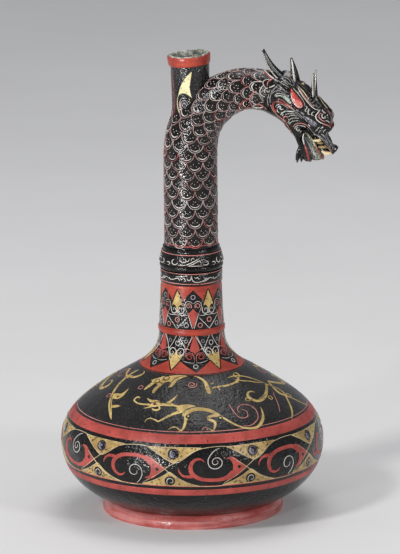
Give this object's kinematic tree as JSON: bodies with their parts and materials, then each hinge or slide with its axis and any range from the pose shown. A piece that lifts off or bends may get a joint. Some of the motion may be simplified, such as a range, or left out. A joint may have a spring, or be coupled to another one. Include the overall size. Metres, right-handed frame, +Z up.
{
  "type": "long-necked bottle with dragon-head spout",
  "caption": "Squat round bottle on a foot ring, with a long collared neck that bends over into a hollow dragon-head spout and an upright filling tube.",
  "frame": {"origin": "on the surface that the bottle stands on, under the middle of the whole object's box; the bottle's own upright axis stands at x = -7.74 mm, because the dragon's head reaches past the belly on the +X side", "axes": "+Z up the bottle, +X the way the dragon's head faces, +Y to the dragon's left"},
  "size_m": [0.252, 0.2366, 0.4241],
  "materials": {
    "black_lacquer": "glossy near-black lacquer, painted with gold, red and pale lines, slightly uneven",
    "red_lacquer": "satin coral-red lacquer with brushed streaks and worn edges",
    "scale_lacquer": "glossy black lacquer over low scales, outlined in thin pink and white lines",
    "head_lacquer": "glossy black lacquer over modelled relief, with white, pink and grey-green lines",
    "eye_lacquer": "glossy coral-red lacquer",
    "tooth_gold": "worn cream-gold paint",
    "tongue_paint": "worn grey-green paint with a red edge"
  },
  "bodies": {
    "root": {"foot_ring": "red_lacquer", "lower_bowl": "black_lacquer", "shoulder_shell": "black_lacquer", "neck_flare": "red_lacquer", "neck_fillet": "red_lacquer", "neck_sleeve": "red_lacquer", "lower_collar": "black_lacquer", "upper_collar": "black_lacquer", "scaled_neck": "scale_lacquer", "elbow_branch": "scale_lacquer", "spout_arch": "scale_lacquer", "filler_tube": "black_lacquer", "mouth_rim": "red_lacquer", "dragon_skull": "head_lacquer", "lower_jaw": "head_lacquer", "tongue": "tongue_paint", "chin_beard": "head_lacquer", "left_eye": "eye_lacquer", "right_eye": "eye_lacquer", "left_upper_teeth": "tooth_gold", "right_upper_teeth": "tooth_gold", "left_cheek_mane": "head_lacquer", "right_cheek_mane": "head_lacquer", "left_horn": "head_lacquer", "right_horn": "head_lacquer", "left_ear": "head_lacquer", "right_ear": "head_lacquer", "left_nose_spike": "head_lacquer", "right_nose_spike": "head_lacquer"}
  },
  "joints": []
}
